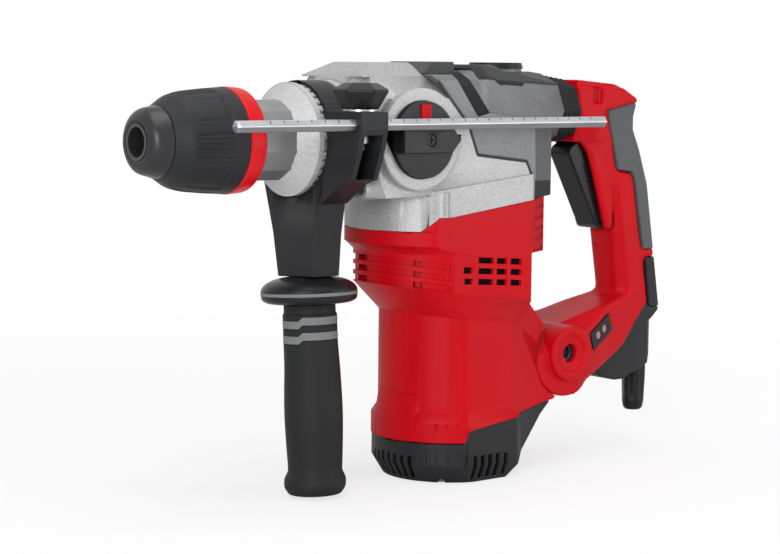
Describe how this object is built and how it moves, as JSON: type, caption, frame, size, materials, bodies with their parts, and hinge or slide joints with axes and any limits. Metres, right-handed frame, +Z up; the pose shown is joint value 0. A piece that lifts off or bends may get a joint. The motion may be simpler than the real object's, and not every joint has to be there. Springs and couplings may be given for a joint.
{
  "type": "rotary hammer",
  "caption": "Rotary hammer with a bit chuck, upright motor, crank-driven impact drive, sprung rear handle, swivelling side handle and depth rod.",
  "frame": {"origin": "centre of the bit socket's mouth, on the spindle axis", "axes": "-X out of the bit socket, +Z up away from the base, -Y towards the selector knob"},
  "size_m": [0.4355, 0.1198, 0.2742],
  "materials": {
    "black_rubber": "matt, fine grain",
    "black_plastic": "fine spark-eroded grain",
    "red_plastic": "satin",
    "red_metal": "satin",
    "dark_steel": "ground and oiled",
    "bright_steel": "ground",
    "silver_casting": "blasted die casting",
    "grey_casting": "painted die casting",
    "iron_core": "stacked sheet",
    "copper": "lacquered copper",
    "brass": "stamped",
    "carbon": "pressed carbon",
    "grey_rubber": "matt",
    "grey_trim": "satin",
    "lamp_lens": "clear dark lens"
  },
  "bodies": {
    "casing": {"barrel_neck": "silver_casting", "housing_screws": "bright_steel", "front_seal": "black_rubber", "needle_bearing": "bright_steel", "spindle_bearing": "bright_steel", "impact_cylinder": "bright_steel", "gear_plate": "silver_casting", "motor_bearings": "bright_steel", "stator": "iron_core", "field_coils": "copper", "brush_ring": "black_plastic", "brush_holders": "brass", "carbon_brushes": "carbon", "gear_housing": "silver_casting", "crank_cover": "grey_casting", "cover_wedge": "black_plastic", "grease_cap": "black_plastic", "motor_housing": "red_plastic", "base_cap": "black_plastic", "pivot_pin": "dark_steel", "handle_bellows": "black_rubber"},
    "spindle": {"tool_holder": "dark_steel", "crown_gear": "dark_steel", "dust_cap": "black_rubber", "locking_rollers": "bright_steel", "sleeve_spring": "bright_steel"},
    "sleeve": {"chuck_sleeve": "black_plastic", "chuck_ring": "red_metal"},
    "armature": {"armature_shaft": "dark_steel", "armature_core": "iron_core", "windings": "copper", "commutator": "copper", "cooling_fan": "black_plastic"},
    "lay": {"lay_shaft": "dark_steel"},
    "crank": {"crank_wheel": "dark_steel"},
    "piston": {"piston": "silver_casting", "wrist_pin": "dark_steel", "con_rod": "dark_steel"},
    "ram": {"ram": "dark_steel"},
    "bolt": {"impact_bolt": "dark_steel"},
    "selector": {"selector_knob": "black_plastic", "selector_screw": "bright_steel"},
    "selector_button": {"selector_button": "red_plastic"},
    "handle": {"rear_handle": "red_plastic", "grip_pads": "grey_rubber", "switch_block": "black_plastic", "trigger_pin": "bright_steel", "lamp_window": "lamp_lens", "cord_gland": "black_plastic", "cord_guard": "black_rubber"},
    "trigger": {"trigger": "black_plastic"},
    "side_handle": {"side_clamp": "black_plastic", "grip_stud": "bright_steel"},
    "side_grip": {"guard_disc": "black_plastic", "guard_trim": "grey_trim", "side_grip": "black_rubber", "grip_stripes": "grey_rubber"},
    "depth_rod": {"depth_rod": "bright_steel"},
    "clamp_knob": {"clamp_knob": "black_plastic", "clamp_bolt": "bright_steel"}
  },
  "joints": [
    {"name": "armature_spin", "type": "hinge", "parent": "casing", "child": "armature", "pos_m": [0.245, 0, -0.12], "axis": [0, 0, 1], "continuous": true},
    {"name": "lay_spin", "type": "hinge", "parent": "casing", "child": "lay", "pos_m": [0.21, 0, -0.04], "axis": [0, 0, 1], "continuous": true},
    {"name": "crank_spin", "type": "hinge", "parent": "casing", "child": "crank", "pos_m": [0.27, 0, -0.03], "axis": [0, 0, 1], "continuous": true},
    {"name": "spindle_spin", "type": "hinge", "parent": "casing", "child": "spindle", "pos_m": [0.1, 0, 0], "axis": [1, 0, 0], "continuous": true},
    {"name": "sleeve_pull", "type": "slide", "parent": "spindle", "child": "sleeve", "axis": [1, 0, 0], "range_m": [0, 0.008], "stiffness_N_per_m": 900, "springref_m": -0.012, "deforming": ["sleeve_spring"]},
    {"name": "piston_stroke", "type": "slide", "parent": "casing", "child": "piston", "axis": [1, 0, 0], "range_m": [0, 0.024]},
    {"name": "ram_stroke", "type": "slide", "parent": "casing", "child": "ram", "axis": [1, 0, 0], "range_m": [0, 0.012]},
    {"name": "bolt_stroke", "type": "slide", "parent": "spindle", "child": "bolt", "axis": [1, 0, 0], "range_m": [-0.004, 0]},
    {"name": "selector_turn", "type": "hinge", "parent": "casing", "child": "selector", "pos_m": [0.1795, -0.05, 0.0003], "axis": [0, -1, 0], "range_deg": [-90, 90]},
    {"name": "button_press", "type": "slide", "parent": "selector", "child": "selector_button", "axis": [0, 1, 0], "range_m": [0, 0.0015], "stiffness_N_per_m": 300, "springref_m": -0.002},
    {"name": "handle_swing", "type": "hinge", "parent": "casing", "child": "handle", "pos_m": [0.325, 0, -0.148], "axis": [0, -1, 0], "range_deg": [0, 2.5], "stiffness_Nm_per_rad": 60, "springref_deg": -2.86, "deforming": ["handle_bellows"]},
    {"name": "trigger_pull", "type": "hinge", "parent": "handle", "child": "trigger", "pos_m": [0.357, 0, -0.001], "axis": [0, -1, 0], "range_deg": [0, 8], "stiffness_Nm_per_rad": 1.2, "springref_deg": -8.59},
    {"name": "side_swivel", "type": "hinge", "parent": "casing", "child": "side_handle", "pos_m": [0.1256, 0, 0], "axis": [1, 0, 0], "range_deg": [-180, 15]},
    {"name": "grip_turn", "type": "hinge", "parent": "side_handle", "child": "side_grip", "pos_m": [0.1238, 0, 0], "axis": [0, 0.0593, 0.9982], "continuous": true},
    {"name": "rod_slide", "type": "slide", "parent": "side_handle", "child": "depth_rod", "axis": [1, 0, 0], "range_m": [-0.1, 0.05]},
    {"name": "knob_turn", "type": "hinge", "parent": "side_handle", "child": "clamp_knob", "pos_m": [0.1248, -0.055, 0.02], "axis": [0, 0, 1], "continuous": true}
  ],
  "couplings": [
    {"joint": "lay_spin", "follows": "armature_spin", "ratio": -0.16667},
    {"joint": "crank_spin", "follows": "armature_spin", "ratio": -0.25},
    {"joint": "spindle_spin", "follows": "armature_spin", "ratio": 0.047619}
  ]
}
